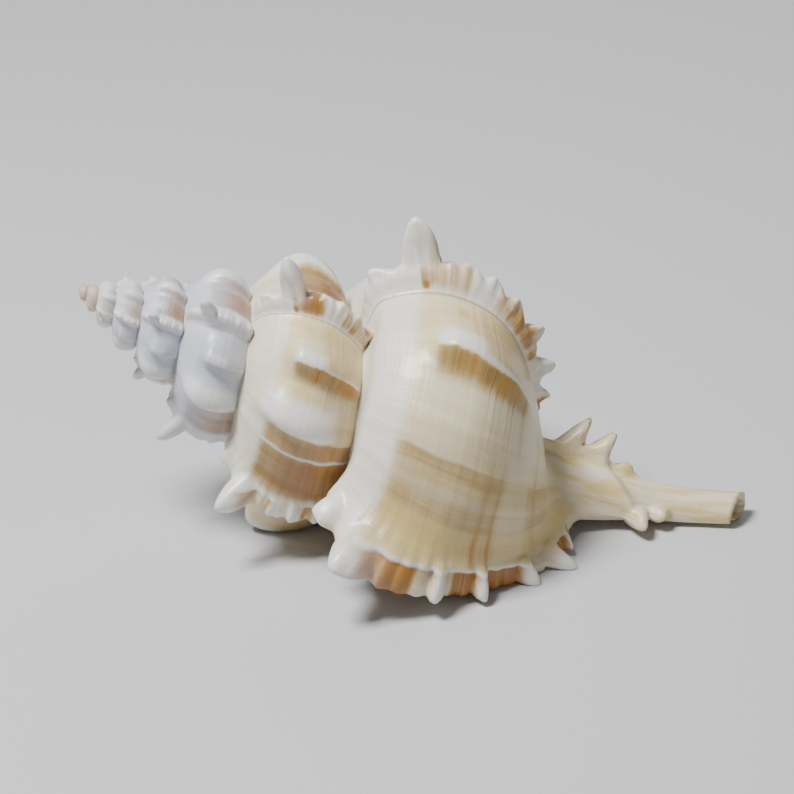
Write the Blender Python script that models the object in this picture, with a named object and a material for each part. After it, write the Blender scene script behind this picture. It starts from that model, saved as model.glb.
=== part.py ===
"""A murex shell lying on its aperture side: a spindle-shaped sea-snail shell with three spiny varices a whorl.

The shell is one solid. It is a loft: a whorl section that turns round the shell's axis and grows by a fixed
ratio each turn, raised into varices, spines, ribs and nodes, with a long hollow canal and an open mouth.
Lengths are in millimetres and angles in degrees until shell_mesh turns them into metres.
A station is an angle round the whorl's section: negative towards the apex, positive towards the canal.
The growth angle is 0 at the last varix, by the mouth, and negative back along the whorls to the apex.
"""

import math

import bmesh
import bpy
import numpy as np
from mathutils import Matrix

MM = 0.001

# Growth of the whorls
WHORL_RATIO = 1.555
MOUTH_ANGLE = 3.5
APEX_ANGLE = -2760.0
APEX_ROUNDING = 150.0
APEX_LIFT = 0.05

# The whorl's section at growth angle 0: its centre's distance from the axis and from the apex, and its half sizes
SECTION_RADIUS = 8.2
SECTION_REACH = 61.6
HALF_WIDTH = 19.0
HALF_BACK = 18.4
HALF_FRONT = 18.6
OUTER_RADIUS = SECTION_RADIUS + HALF_WIDTH
FIRST_STATION = -69.0
SUTURE_STATION = 28.0
SUTURE_DROP = 12.0
SUTURE_DROP_ANGLES = (-700.0, -420.0)
SECTION_TAPER = 1.4
BASE_STATION = 62.0
SUTURE_BLEND = 24.0
# Relief fades out where the next whorl covers this one: from and to these stations past the suture
COVERED_EDGE = (-6.0, 4.0)
# The part of the last whorl that no whorl covers starts over these growth angles
UNCOVERED_FROM = -356.5
UNCOVERED_TO = -270.0
# Relief leans this many times further than its station from straight out
RELIEF_LEAN = 1.2

# The siphonal canal
CANAL_TIP = 104.5
CANAL_REACHES = (50.0, 62.0, 76.0, 83.0, 92.0, 99.0, 104.5)
CANAL_RADII = (4.0, 4.2, 4.8, 4.3, 3.0, 2.6, 2.5)
NECK_SLOPE = 0.5
CANAL_SCROLL = 0.8
CANAL_BEND_START = 68.0
CANAL_BEND = 10.3
CANAL_BEND_POWER = 2.0
CANAL_BEND_TOWARDS = 23.0
TIP_HOLE_SHARE = 0.63
TIP_HOLE_TAPER = 0.26
TIP_HOLE_DEPTH = 5.0
TIP_HOLE_POINT = 0.6
CANAL_STATION = 180.0

# Varices: growth angle between them, their slopes in degrees of growth, and the height of their ridge at
# stations from the suture to the canal: on each varix, and on the last one, at the lip
FIRST_VARIX_STEP = 106.4
VARIX_STEP = 113.1
VARIX_COUNT = 20
VARIX_BACK = 10.0
VARIX_FRONT = 6.0
LAST_VARIX_FRONT = 4.2
RIDGE_STATIONS = (-69.0, -47.0, -25.0, -13.0, 0.0, 12.0, 30.0, 50.0, 70.0, 95.0)
RIDGE_HEIGHTS = (0.3, 2.7, 3.9, 4.1, 3.6, 3.1, 2.6, 2.2, 1.8, 1.2)
LAST_RIDGE_HEIGHTS = (0.3, 3.0, 5.6, 6.4, 4.4, 2.2, 1.2, 2.1, 3.0, 2.2)
SPINE_BACK = 8.0
SPINE_FRONT = 3.0
SPINE_CREST = -1.2
SPINE_GROOVE = 0.45
SPINE_GROOVE_WIDTH = 0.4
SPINE_BLUNTNESS = 1.9

# Spines of a varix: (station, height, half width in degrees of station)
SHOULDER_SPINE = (-24.7, 7.8, 8.2)
SMALL_SPINES = (
    (-45.0, 1.4, 5.0),
    (-4.0, 0.8, 5.0),
    (8.0, 1.2, 4.5),
    (21.0, 1.4, 4.5),
    (35.0, 2.6, 4.0),
    (50.0, 3.0, 4.0),
    (64.0, 1.8, 4.5),
)
LAST_SPINES = (
    (-44.0, 2.4, 6.5),
    (7.0, 2.2, 4.0),
    (25.0, 2.6, 4.0),
    (46.0, 2.6, 4.5),
    (61.0, 3.4, 5.5),
    (76.0, 3.0, 4.5),
)
# How much of the shoulder spine each varix keeps, from the mouth back: some are worn or broken
SPINE_KEPT = (0.6, 1.02, 0.9, 0.95, 1.5, 1.1, 1.1, 1.0, 0.6, 0.68, 0.9, 0.5)
SPINE_KEPT_SPIRE = 0.4
# The small spines of the first varices are worn down to this share
SMALL_KEPT = 0.5
FIRST_WORN_VARIX = 5

# Two ribs between varices: degrees of growth after the older varix, and their heights on the body whorl from
# the mouth back and then on the spire
RIBS_AFTER = (33.0, 63.0)
RIB_HEIGHTS = ((0.0, 0.0), (3.0, 0.3), (3.2, 2.4), (6.8, 3.3), (4.4, 3.6), (4.8, 6.2))
RIB_HEIGHTS_SPIRE = (4.4, 6.0)
RIB_BACK = 12.0
RIB_FRONT = 5.0
BODY_VARICES = 3
RIB_STATION_BODY = -7.5
RIB_STATION_SPIRE = -12.0
RIB_SPREADS_BACK = (11.0, 24.0)
RIB_SPREAD_FRONT = 34.0
RIB_LEAN = 0.03

# The inner lip's glaze: its height, where it starts and ends in growth angle, and its edge past the suture
CALLUS = 0.6
CALLUS_START = -357.5
CALLUS_END = (-336.0, -329.0)
CALLUS_EDGE = (2.0, 10.0)

# The lip and the varices fall back towards the canal, by this much growth angle over these stations
SWEEP = -3.0
SWEEP_STATIONS = (42.0, 95.0)
NECK_STATIONS = 33.0
NECK_RELIEF = 0.8

# The last varices run on along the canal as low ridges
CANAL_VARICES = 3
CANAL_RIDGE = 1.7
CANAL_RIDGE_BACK = 16.0
CANAL_RIDGE_FRONT = 7.0
CANAL_RIDGE_FADE = (78.0, 94.0)

# Relief on the canal rises this much outward and this much towards its tip
CANAL_RISE_OUT = 0.93
CANAL_RISE_ALONG = 0.3
CANAL_AROUND = 4.0

# Spines along the canal: (growth angle, distance from the apex, height, half width)
CANAL_SPINES = (
    (-125.0, 77.2, 5.3, 1.7),
    (-123.0, 81.8, 4.2, 1.6),
    (-117.0, 86.5, 1.2, 1.7),
    (-12.0, 90.2, 3.1, 1.6),
    (-18.0, 93.2, 2.0, 1.5),
    (-237.0, 70.0, 3.4, 1.8),
    (-233.0, 76.0, 3.0, 1.7),
)

# The mouth
MOUTH_WALL = 1.9
LIP_SHARE = 0.45
LIP_ROUNDING = 1.5
MOUTH_DEPTH = 600.0
MOUTH_FIRST = 0.03
MOUTH_RING_POWER = 1.3
CANAL_SHALLOW = 0.92
CORNER_STATIONS = 9.0
CORNER_GAP = 0.25
CORNER_BLEND = 30.0
THIN_SHARE = 0.6
DEEPEST_NECK = -700.0

# How the shell lies
WORLD_OF_MOUTH = 114.3
ROLL = -8.86
PITCH = 25.82
FOOT_WORN = 0.25

# Material
SHELL_COLOUR = (0.80, 0.70, 0.56, 1.0)
SHELL_ROUGHNESS = 0.35

# Mesh
STRIP_ROWS = 30
BASE_ROWS = 14
NECK_ROWS = 10
CANAL_ROWS = 18
HOLE_ROWS = 4
MOUTH_RINGS = 34
COLUMN_STEP = 2.0
LONGEST_STEP = 8.0
FINE_SHARE = 0.35
FINE_BACK = 12.0
FINE_FRONT = 5.0
FACES_KEPT = 0.226


def smooth(value, low, high):
    """0 below low, 1 above high, and an even S between."""
    share = np.clip((value - low) / (high - low), 0.0, 1.0)
    return share * share * (3.0 - 2.0 * share)


def growth(angle):
    """The shell's size at a growth angle, as a share of its size at the last varix."""
    return WHORL_RATIO ** (angle / 360.0)


def bump(distance, back, front):
    """A smooth hill, 1 at distance 0, with its own width on each side."""
    width = np.where(distance < 0, back, front)
    return np.exp(-((distance / width) ** 2))


def cone(distance):
    """A blunt cone, 1 in the middle and 0 from distance 1 on."""
    return np.clip(1.0 - distance**SPINE_BLUNTNESS, 0.0, 1.0)


def spine(past, across):
    """A spine with a groove down its front: past is degrees of growth after its varix."""
    groove = 1.0 - SPINE_GROOVE * bump(across, SPINE_GROOVE_WIDTH, SPINE_GROOVE_WIDTH)
    along = past - SPINE_CREST
    along = along / np.where(along < 0, SPINE_BACK, SPINE_FRONT * groove)
    return cone(np.hypot(along, across))


def varix_slope(past, front):
    """A varix's profile: 1 at its crest, a long slope behind it and a short face in front with a crisp foot."""
    face = np.cos(np.clip(past / front, 0.0, 1.0) * math.pi / 2.0)
    return np.where(past < 0, bump(past, VARIX_BACK, VARIX_BACK), face)


def varix_angles():
    steps = [VARIX_STEP] * (VARIX_COUNT - 2)
    return -np.cumsum([0.0, FIRST_VARIX_STEP, *steps])


def spine_kept(index):
    return SPINE_KEPT[index] if index < len(SPINE_KEPT) else SPINE_KEPT_SPIRE


def suture_station(angle):
    """Where the next whorl covers this one: further towards the canal on the last whorls."""
    return SUTURE_STATION + SUTURE_DROP * smooth(angle, *SUTURE_DROP_ANGLES)


def sweep(station):
    return SWEEP * smooth(station, *SWEEP_STATIONS)


def rib_heights(index):
    return RIB_HEIGHTS[index] if index < len(RIB_HEIGHTS) else RIB_HEIGHTS_SPIRE


def whorl_relief(angle, station):
    """Height of the varices, spines and ribs over the plain whorl, in millimetres at growth angle 0."""
    height = np.zeros_like(angle)
    uncovered = smooth(angle, UNCOVERED_FROM, UNCOVERED_TO)
    suture = suture_station(angle)
    past_suture = station - suture
    shown = 1.0 - (1.0 - uncovered) * smooth(past_suture, *COVERED_EDGE)
    for index, varix in enumerate(varix_angles()):
        past = angle - varix
        ridge = np.interp(station, RIDGE_STATIONS, RIDGE_HEIGHTS if index else LAST_RIDGE_HEIGHTS)
        height += ridge * varix_slope(past, VARIX_FRONT if index else LAST_VARIX_FRONT)
        spine_station, spine_height, width = SHOULDER_SPINE
        height += spine_kept(index) * spine_height * spine(past, (station - spine_station) / width)
        kept = 1.0 if index < FIRST_WORN_VARIX else SMALL_KEPT
        for spine_station, spine_height, width in SMALL_SPINES if index else LAST_SPINES:
            height += kept * spine_height * spine(past, (station - spine_station) / width)
        rib_station = RIB_STATION_BODY if index < BODY_VARICES else RIB_STATION_SPIRE
        from_rib = station - rib_station
        for after, rib_height, spread_back in zip(RIBS_AFTER, rib_heights(index), RIB_SPREADS_BACK):
            along = past - after - RIB_LEAN * from_rib
            spread = bump(from_rib, spread_back, RIB_SPREAD_FRONT)
            height += rib_height * bump(along, RIB_BACK, RIB_FRONT) * spread
    callus = (1.0 - smooth(angle, *CALLUS_END)) * (angle > CALLUS_START)
    callus = CALLUS * callus * smooth(past_suture, *CALLUS_EDGE)
    return height * shown + callus


def canal_radius(reach, angle):
    """The canal's radius, which grows a little with each turn like a scroll and leaves a slit at the mouth."""
    turn = (angle - MOUTH_ANGLE + 180.0) / 180.0
    return np.interp(reach, CANAL_REACHES, CANAL_RADII) + CANAL_SCROLL * turn


def canal_relief(angle, reach):
    height = np.zeros_like(reach)
    fade = 1.0 - smooth(reach, *CANAL_RIDGE_FADE)
    for varix in varix_angles()[:CANAL_VARICES]:
        height += CANAL_RIDGE * fade * bump(angle - varix, CANAL_RIDGE_BACK, CANAL_RIDGE_FRONT)
    for spine_angle, spine_reach, spine_height, width in CANAL_SPINES:
        around = np.radians(angle - spine_angle) * CANAL_AROUND
        distance = np.hypot(around, reach - spine_reach) / width
        height += spine_height * cone(np.clip(distance, 0.0, 1.0))
    return height


def whorl_point(angle, station):
    """(distance from the axis, distance from the apex) of the plain whorl."""
    size = growth(angle)
    start = np.clip((angle - APEX_ANGLE) / APEX_ROUNDING, 0.0, 1.0)
    opened = np.sqrt(1.0 - (1.0 - start) ** 2)
    half_length = np.where(station < 0, HALF_BACK, HALF_FRONT)
    across = np.cos(np.radians(station))
    across = np.where(station > 0, np.abs(across) ** SECTION_TAPER, across)
    radius = SECTION_RADIUS + opened * HALF_WIDTH * across
    reach = SECTION_REACH + opened * half_length * np.sin(np.radians(station))
    return radius * size, reach * size


def lean(station):
    """The way that relief rises from the section, as an angle from straight out."""
    return np.radians(RELIEF_LEAN * station)


def whorl_surface(angle, station):
    radius, reach = whorl_point(angle, station)
    height = whorl_relief(angle, station) * growth(angle)
    return radius + height * np.cos(lean(station)), reach + height * np.sin(lean(station))


def canal_start(angle):
    """Where the neck, which is the whorl's hollow base, becomes the canal."""
    radius, reach = whorl_point(angle, BASE_STATION)
    return reach + NECK_SLOPE * (radius - CANAL_RADII[0])


def neck_curve(angle, share):
    """The neck with no relief: a curve from the whorl's base, share 0, to the canal, share 1."""
    from_radius, from_reach = whorl_point(angle, BASE_STATION)
    to_reach = canal_start(angle)
    to_radius = canal_radius(to_reach, np.maximum(angle, MOUTH_ANGLE - 360.0))
    length = np.hypot(to_reach - from_reach, from_radius - to_radius)
    slope = math.radians(BASE_STATION)
    taper = SECTION_TAPER * math.cos(slope) ** (SECTION_TAPER - 1.0)
    start_radius = -HALF_WIDTH * taper * math.sin(slope)
    start_reach = HALF_FRONT * math.cos(slope)
    start_length = math.hypot(start_radius, start_reach)
    at_start = 2 * share**3 - 3 * share**2 + 1
    leaving = (share**3 - 2 * share**2 + share) * length
    at_end = 3 * share**2 - 2 * share**3
    arriving = (share**3 - share**2) * length
    radius = at_start * from_radius + at_end * to_radius + leaving * start_radius / start_length
    reach = at_start * from_reach + at_end * to_reach + leaving * start_reach / start_length + arriving
    return radius, reach


def neck_surface(angle, share):
    radius, reach = neck_curve(angle, share)
    station = BASE_STATION + NECK_STATIONS * share
    height = whorl_relief(angle, station) * growth(angle) * (1.0 - smooth(share, 0.0, 1.0))
    height += canal_relief(angle, reach) * smooth(share, 0.0, NECK_RELIEF)
    way = lean(BASE_STATION) * (1.0 - share)
    return radius + height * np.cos(way), reach + height * np.sin(way)


def canal_surface(angle, share):
    start = canal_start(angle)
    reach = start + (CANAL_TIP - start) * share
    height = canal_relief(angle, reach)
    return canal_radius(reach, angle) + height * CANAL_RISE_OUT, reach + height * CANAL_RISE_ALONG


def placed(angle, radius, reach):
    """Points of the shell in its own frame: +X from the apex to the canal, with the canal bent."""
    turn = np.radians(angle + WORLD_OF_MOUTH)
    past = np.clip((reach - CANAL_BEND_START) / (CANAL_TIP - CANAL_BEND_START), 0.0, None)
    bend = CANAL_BEND * past**CANAL_BEND_POWER
    towards = math.radians(CANAL_BEND_TOWARDS)
    return np.stack(
        [
            reach,
            -radius * np.sin(turn) - bend * math.sin(towards),
            radius * np.cos(turn) + bend * math.cos(towards),
        ],
        axis=-1,
    )


def column_angles():
    """Growth angles of the mesh's columns, closer together at each varix."""
    fixed = [APEX_ANGLE, APEX_ANGLE + 360.0, MOUTH_ANGLE - 360.0, MOUTH_ANGLE]
    varices = varix_angles()
    angles = [APEX_ANGLE]
    while angles[-1] < MOUTH_ANGLE:
        angle = angles[-1]
        step = math.degrees(COLUMN_STEP / (OUTER_RADIUS * growth(angle)))
        past = angle - varices
        if np.any((past > -FINE_BACK) & (past < FINE_FRONT)):
            step *= FINE_SHARE
        next_fixed = min(value for value in fixed if value > angle)
        following = angle + min(step, LONGEST_STEP)
        angles.append(next_fixed if following > next_fixed - step / 2.0 else following)
    return np.array(angles)


def zipper(first, second, first_at, second_at):
    """Triangles between two lines of vertices, each ordered by the value that it has along them."""
    faces = []
    i = j = 0
    while i < len(first) - 1 or j < len(second) - 1:
        next_first = first_at[i + 1] if i < len(first) - 1 else math.inf
        next_second = second_at[j + 1] if j < len(second) - 1 else math.inf
        if next_first <= next_second:
            faces.append((first[i], first[i + 1], second[j]))
            i += 1
        else:
            faces.append((first[i], second[j + 1], second[j]))
            j += 1
    return faces


def strip_and_base(angle):
    """The stations of a column's rows, as far as the whorl's base."""
    suture = float(suture_station(angle))
    strip = np.linspace(FIRST_STATION, suture, STRIP_ROWS, endpoint=False)
    return np.concatenate([strip, np.linspace(suture, BASE_STATION, BASE_ROWS, endpoint=False)])


def neck_and_canal():
    """Shares along the neck and along the canal, and the stations that stand for those rows in a sweep."""
    neck = np.linspace(0.0, 1.0, NECK_ROWS, endpoint=False)
    canal = np.linspace(0.0, 1.0, CANAL_ROWS + 1)
    stations = np.concatenate([BASE_STATION + NECK_STATIONS * neck, np.full_like(canal, CANAL_STATION)])
    return neck, canal, stations


def column(angle, full):
    """One column of the surface, as (angle, radius, reach) rows: a strip of whorl or, if full, also the canal."""
    stations = strip_and_base(angle)
    if not full:
        stations = stations[:STRIP_ROWS]
    radius, reach = whorl_surface(np.full_like(stations, angle), stations)
    if angle >= APEX_ANGLE + 360.0:
        before = np.array([angle - 360.0])
        suture_radius, suture_reach = whorl_surface(before, suture_station(before))
        blend = 1.0 - smooth(stations[:STRIP_ROWS], FIRST_STATION, FIRST_STATION + SUTURE_BLEND)
        radius[:STRIP_ROWS] += (suture_radius - radius[0]) * blend
        reach[:STRIP_ROWS] += (suture_reach - reach[0]) * blend
    if full:
        neck, canal, later = neck_and_canal()
        neck_radius, neck_reach = neck_surface(np.full_like(neck, angle), neck)
        canal_r, canal_x = canal_surface(np.full_like(canal, angle), canal)
        stations = np.concatenate([stations, later])
        radius = np.concatenate([radius, neck_radius, canal_r])
        reach = np.concatenate([reach, neck_reach, canal_x])
    return np.stack([angle + sweep(stations), radius, reach], axis=-1)


def mouth_ring(depth, wall):
    """A loop inside the mouth: along the outer wall to the canal's tip and back along the inner side."""
    rows = STRIP_ROWS + BASE_ROWS + NECK_ROWS + CANAL_ROWS + 1
    shallow = 1.0 - CANAL_SHALLOW * smooth(np.arange(rows), STRIP_ROWS + BASE_ROWS, rows - CANAL_ROWS)
    later = neck_and_canal()[2]
    ring = []
    stations = np.concatenate([strip_and_base(MOUTH_ANGLE), later])
    for row in range(rows):
        angle = MOUTH_ANGLE - depth * shallow[row]
        radius, reach = inside_outer(angle, row, stations[row], wall)
        ring.append((angle + sweep(stations[row]), radius, reach))
    stations = np.concatenate([strip_and_base(MOUTH_ANGLE - 360.0), later])
    for row in range(rows - 1, STRIP_ROWS - 2, -1):
        angle = MOUTH_ANGLE - 360.0 - depth * shallow[row]
        radius, reach = inside_inner(angle, row, stations[row])
        ring.append((angle + sweep(stations[row]), radius, reach))
    return ring


def shell_places():
    """The closed shell: (angle, radius, reach) of each point, the faces, and the number of points outside."""
    angles = column_angles()
    last = len(angles) - 1
    inner = int(np.argmin(np.abs(angles - (MOUTH_ANGLE - 360.0))))
    first_turn = int(np.argmin(np.abs(angles - (APEX_ANGLE + 360.0))))
    rim_row = STRIP_ROWS + BASE_ROWS + NECK_ROWS + CANAL_ROWS
    places = []
    faces = []

    def add(rows):
        start = len(places)
        places.extend(tuple(float(value) for value in row) for row in rows)
        return list(range(start, len(places)))

    apex_reach = SECTION_REACH * growth(APEX_ANGLE)
    columns = [add([(APEX_ANGLE, SECTION_RADIUS * growth(APEX_ANGLE), apex_reach)]) * STRIP_ROWS]
    for number in range(1, last + 1):
        columns.append(add(column(angles[number], number >= inner)))

    for number in range(1, last):
        rows = rim_row if number >= inner else STRIP_ROWS - 1
        here = columns[number]
        following = columns[number + 1]
        for row in range(rows):
            faces.append((here[row], here[row + 1], following[row + 1], following[row]))
    for row in range(STRIP_ROWS - 1):
        faces.append((columns[0][0], columns[1][row + 1], columns[1][row]))

    # The suture, where each whorl meets the whorl before it
    upper = [columns[number][STRIP_ROWS - 1] for number in range(inner + 1)]
    lower = [columns[number][0] for number in range(first_turn, last + 1)]
    faces.extend(zipper(upper, lower, angles[: inner + 1], angles[first_turn:] - 360.0))

    # The first turn's top is closed with a fan
    top = [columns[number][0] for number in range(first_turn + 1)]
    apex = add([(0.0, 0.0, min(places[point][2] for point in top) - APEX_LIFT)])[0]
    for here, following in zip(top, top[1:] + top[:1]):
        faces.append((apex, here, following))

    # The hole in the canal's tip: rings that turn in over the rim and run back to a point
    ring_angles = angles[inner:last]
    rings = [[columns[number][rim_row] for number in range(inner, last + 1)]]
    for share in np.linspace(0.0, 1.0, HOLE_ROWS):
        radius = CANAL_RADII[-1] * TIP_HOLE_SHARE * (1.0 - TIP_HOLE_TAPER * share)
        reach = CANAL_TIP - TIP_HOLE_DEPTH * share
        ring = add([(angle, radius, reach) for angle in ring_angles])
        rings.append(ring + ring[:1])
    for outer, within in zip(rings, rings[1:]):
        for i in range(len(ring_angles)):
            faces.append((outer[i], within[i], within[i + 1], outer[i + 1]))
    faces.append((rings[0][-1], rings[0][0], rings[1][0]))
    end = add([(0.0, 0.0, CANAL_TIP - TIP_HOLE_DEPTH - TIP_HOLE_POINT)])[0]
    for i in range(len(ring_angles)):
        faces.append((rings[-1][i], end, rings[-1][i + 1]))

    # The mouth: loops that leave the lip, turn in and follow the last whorl back inside
    outside = len(places)
    loop = columns[last][: rim_row + 1] + columns[inner][rim_row : STRIP_ROWS - 2 : -1]
    deeper = MOUTH_DEPTH * np.linspace(MOUTH_FIRST, 1.0, MOUTH_RINGS) ** MOUTH_RING_POWER
    for depth in (0.0, LIP_ROUNDING, *deeper):
        wall = MOUTH_WALL if depth > 0.0 else MOUTH_WALL * LIP_SHARE
        ring = add(mouth_ring(depth, wall))
        for i in range(len(loop)):
            j = (i + 1) % len(loop)
            faces.append((loop[i], ring[i], ring[j], loop[j]))
        loop = ring
    outer_line = loop[: rim_row + 1]
    inner_line = loop[rim_row + 1 :][::-1]
    faces.extend(
        zipper(
            inner_line,
            outer_line,
            np.linspace(0.0, 1.0, len(inner_line)),
            np.linspace(0.0, 1.0, len(outer_line)),
        )
    )
    return np.array(places), faces, outside


def inside_outer(angle, row, station, wall):
    """A point on the inside of the last whorl's outer wall."""
    if row < STRIP_ROWS + BASE_ROWS:
        radius, reach = whorl_point(angle, station)
        thick = wall * (THIN_SHARE + (1.0 - THIN_SHARE) * growth(angle))
        radius -= thick * math.cos(math.radians(station))
        reach -= thick * math.sin(math.radians(station))
        away = smooth(station, FIRST_STATION, FIRST_STATION + CORNER_BLEND)
        corner_radius, corner_reach = mouth_corner(angle)
        return corner_radius + (radius - corner_radius) * away, corner_reach + (reach - corner_reach) * away
    share = (row - STRIP_ROWS - BASE_ROWS) / NECK_ROWS
    if share < 1.0:
        radius, reach = neck_curve(max(angle, DEEPEST_NECK), share)
        thick = wall * (1.0 - (1.0 - LIP_SHARE) * share)
        way = math.radians(BASE_STATION) * (1.0 - share)
        return radius - thick * math.cos(way), reach - thick * math.sin(way)
    reach = canal_reach(angle, (row - STRIP_ROWS - BASE_ROWS - NECK_ROWS) / CANAL_ROWS)
    return canal_radius(reach, angle) - LIP_SHARE * wall, reach


def inside_inner(angle, row, station):
    """A point on the mouth's inner side: the whorl before it, the columella and the canal's inner wall."""
    if row < STRIP_ROWS + BASE_ROWS:
        suture = float(suture_station(MOUTH_ANGLE - 360.0))
        share = max((station - suture) / (BASE_STATION - suture), 0.0)
        first = float(suture_station(angle)) + CORNER_STATIONS
        return whorl_point(angle, first + share * (BASE_STATION - first))
    share = (row - STRIP_ROWS - BASE_ROWS) / NECK_ROWS
    if share < 1.0:
        return neck_curve(max(angle, DEEPEST_NECK), share)
    reach = canal_reach(angle, (row - STRIP_ROWS - BASE_ROWS - NECK_ROWS) / CANAL_ROWS)
    return canal_radius(reach, max(angle, MOUTH_ANGLE - 360.0)), reach


def canal_reach(angle, share):
    """How far along the axis a point inside the canal is: the last is just short of the tip."""
    start = canal_start(angle)
    return start + (CANAL_TIP - TIP_HOLE_POINT - start) * share


def mouth_corner(angle):
    """The narrow corner of the mouth, where the outer wall meets the whorl before it."""
    before = angle - 360.0
    radius, reach = whorl_point(before, float(suture_station(before)) + CORNER_STATIONS)
    return radius + CORNER_GAP, reach


def lying(points):
    """The shell turned as it lies."""
    turn = Matrix.Rotation(math.radians(PITCH), 3, "Y") @ Matrix.Rotation(math.radians(ROLL), 3, "X")
    return points @ np.array(turn).T


def resting(points):
    """The lying shell moved so that its worn lowest points touch the floor and its box is centred on the origin."""
    low = points.min(axis=0)
    high = points.max(axis=0)
    middle = (low + high) / 2.0
    return points - np.array([middle[0], middle[1], low[2] + FOOT_WORN])


def shell_mesh():
    places, faces = shell_places()[:2]
    points = resting(lying(placed(*places.T))) * MM
    mesh = bpy.data.meshes.new("shell")
    mesh.from_pydata([tuple(point) for point in points], [], faces)
    bm = bmesh.new()
    bm.from_mesh(mesh)
    bmesh.ops.recalc_face_normals(bm, faces=bm.faces)
    bm.to_mesh(mesh)
    bm.free()
    return mesh


def shell_material():
    material = bpy.data.materials.new("shell")
    material.use_nodes = True
    shader = material.node_tree.nodes["Principled BSDF"]
    shader.inputs["Base Color"].default_value = SHELL_COLOUR
    shader.inputs["Roughness"].default_value = SHELL_ROUGHNESS
    return material


def box(name, low, high):
    corners = [(x, y, z) for x in (low[0], high[0]) for y in (low[1], high[1]) for z in (low[2], high[2])]
    mesh = bpy.data.meshes.new(name)
    bm = bmesh.new()
    bmesh.ops.create_cube(bm, size=1.0)
    for vert, corner in zip(bm.verts, corners):
        vert.co = corner
    bmesh.ops.recalc_face_normals(bm, faces=bm.faces)
    bm.to_mesh(mesh)
    bm.free()
    return bpy.data.objects.new(name, mesh)


def main():
    for old in list(bpy.data.objects):
        bpy.data.objects.remove(old)
    scene = bpy.context.scene
    kept = bpy.data.collections.new("murex_shell")
    cutters = bpy.data.collections.new("cutters")
    scene.collection.children.link(kept)
    scene.collection.children.link(cutters)

    shell = bpy.data.objects.new("shell", shell_mesh())
    shell.data.materials.append(shell_material())
    kept.objects.link(shell)

    floor = box("floor_cut", (-0.08, -0.08, -0.01), (0.08, 0.08, 0.0))
    floor.hide_render = True
    floor.display_type = "WIRE"
    cutters.objects.link(floor)

    fewer = shell.modifiers.new("fewer_faces", "DECIMATE")
    fewer.ratio = FACES_KEPT
    worn = shell.modifiers.new("worn_foot", "BOOLEAN")
    worn.operation = "DIFFERENCE"
    worn.solver = "EXACT"
    worn.object = floor
    return shell


if __name__ == "__main__":
    main()
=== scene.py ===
"""The looks of the murex shell: its fine shape, its glaze and colours, and a plain studio round it.

The shell's shape is worked out from the same growth rules as its solid, in a much finer mesh, with the cords
and frills of the varices and creases of growth. Its colours follow the whorls.
Lengths are in millimetres and angles in degrees until they are turned into metres for Blender.
"""

import math

import bmesh
import bpy
import numpy as np
from mathutils import Matrix, Vector

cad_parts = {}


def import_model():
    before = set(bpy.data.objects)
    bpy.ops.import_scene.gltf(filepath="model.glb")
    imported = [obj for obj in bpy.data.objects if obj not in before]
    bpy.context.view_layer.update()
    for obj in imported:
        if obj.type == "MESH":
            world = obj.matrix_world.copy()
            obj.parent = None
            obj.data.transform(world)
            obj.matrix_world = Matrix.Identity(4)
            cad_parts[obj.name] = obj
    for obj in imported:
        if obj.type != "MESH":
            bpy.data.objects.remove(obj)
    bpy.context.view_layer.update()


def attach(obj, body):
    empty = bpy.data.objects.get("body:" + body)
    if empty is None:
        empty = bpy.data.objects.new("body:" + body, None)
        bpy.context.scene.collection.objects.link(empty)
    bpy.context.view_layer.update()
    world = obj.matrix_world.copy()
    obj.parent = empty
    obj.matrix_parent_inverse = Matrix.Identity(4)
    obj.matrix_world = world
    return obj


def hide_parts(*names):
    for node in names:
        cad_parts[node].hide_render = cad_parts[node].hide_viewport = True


MM = 0.001

# Growth of the whorls
WHORL_RATIO = 1.555
MOUTH_ANGLE = 3.5
APEX_ANGLE = -2760.0
APEX_ROUNDING = 150.0
APEX_LIFT = 0.05

# The whorl's section at growth angle 0: its centre's distance from the axis and from the apex, and half sizes
SECTION_RADIUS = 8.2
SECTION_REACH = 61.6
HALF_WIDTH = 19.0
HALF_BACK = 18.4
HALF_FRONT = 18.6
OUTER_RADIUS = SECTION_RADIUS + HALF_WIDTH
FIRST_STATION = -69.0
SUTURE_STATION = 28.0
SUTURE_DROP = 12.0
SUTURE_DROP_ANGLES = (-700.0, -420.0)
SECTION_TAPER = 1.4
BASE_STATION = 62.0
SUTURE_BLEND = 24.0
# Relief fades out where the next whorl covers this one: from and to these stations past the suture
COVERED_EDGE = (-6.0, 4.0)
# The part of the last whorl that no whorl covers starts over these growth angles
UNCOVERED_ANGLES = (-356.5, -270.0)
# Relief leans this many times further than its station from straight out
RELIEF_LEAN = 1.2

# The siphonal canal
CANAL_TIP = 104.5
CANAL_REACHES = (50.0, 62.0, 76.0, 83.0, 92.0, 99.0, 104.5)
CANAL_RADII = (4.0, 4.2, 4.8, 4.3, 3.0, 2.6, 2.5)
NECK_SLOPE = 0.5
CANAL_SCROLL = 0.8
CANAL_BEND_START = 68.0
CANAL_BEND = 10.3
CANAL_BEND_POWER = 2.0
CANAL_BEND_TOWARDS = 23.0
TIP_HOLE_SHARE = 0.63
TIP_HOLE_TAPER = 0.26
TIP_HOLE_DEPTH = 5.0
TIP_HOLE_POINT = 0.6
CANAL_STATION = 180.0

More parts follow.
